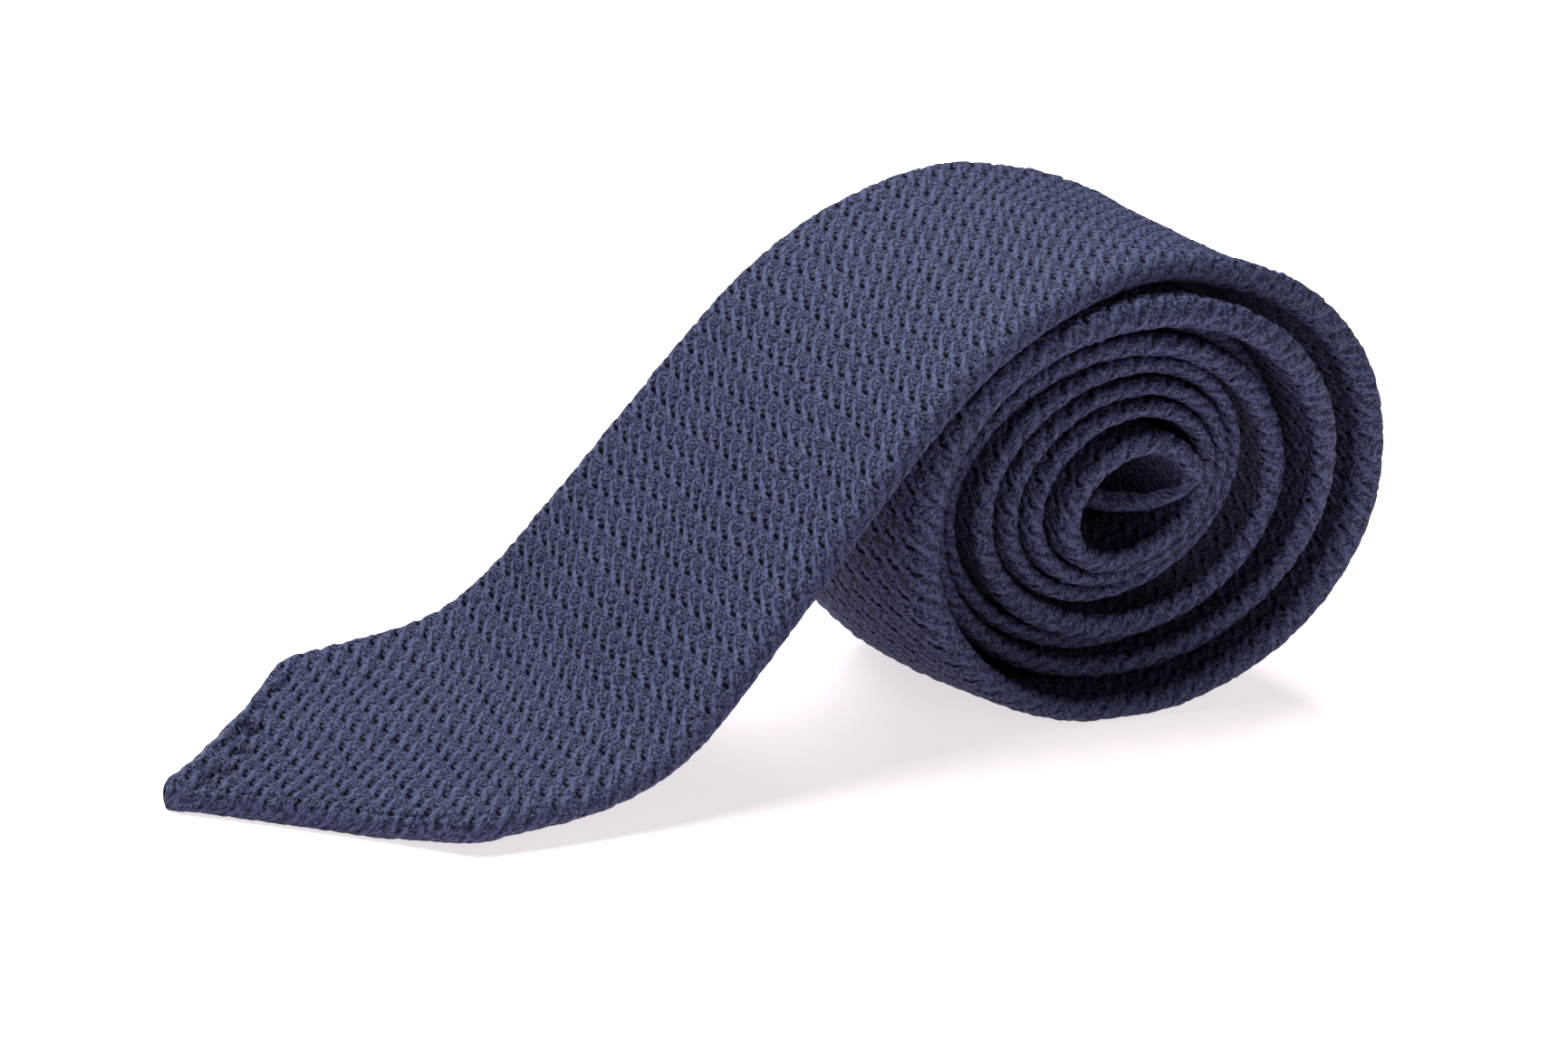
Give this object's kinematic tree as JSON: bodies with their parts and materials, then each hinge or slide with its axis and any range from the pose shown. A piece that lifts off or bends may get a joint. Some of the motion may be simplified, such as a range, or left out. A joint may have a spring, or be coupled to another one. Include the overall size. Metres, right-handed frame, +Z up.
{
  "type": "rolled necktie",
  "caption": "Grenadine-weave necktie rolled up from its narrow end, its pointed wide blade coming off the top of the roll and ending flat on the table.",
  "frame": {"origin": "on the table, under the middle of the tie's box", "axes": "+X from the tip of the wide blade toward the roll, +Y across the tie, +Z up from the table"},
  "size_m": [0.209, 0.0724, 0.0809],
  "materials": {
    "grenadine_silk": "matt open gauze weave in navy silk"
  },
  "bodies": {
    "root": {"front_blade": "grenadine_silk", "neck": "grenadine_silk", "tail": "grenadine_silk"}
  },
  "joints": []
}
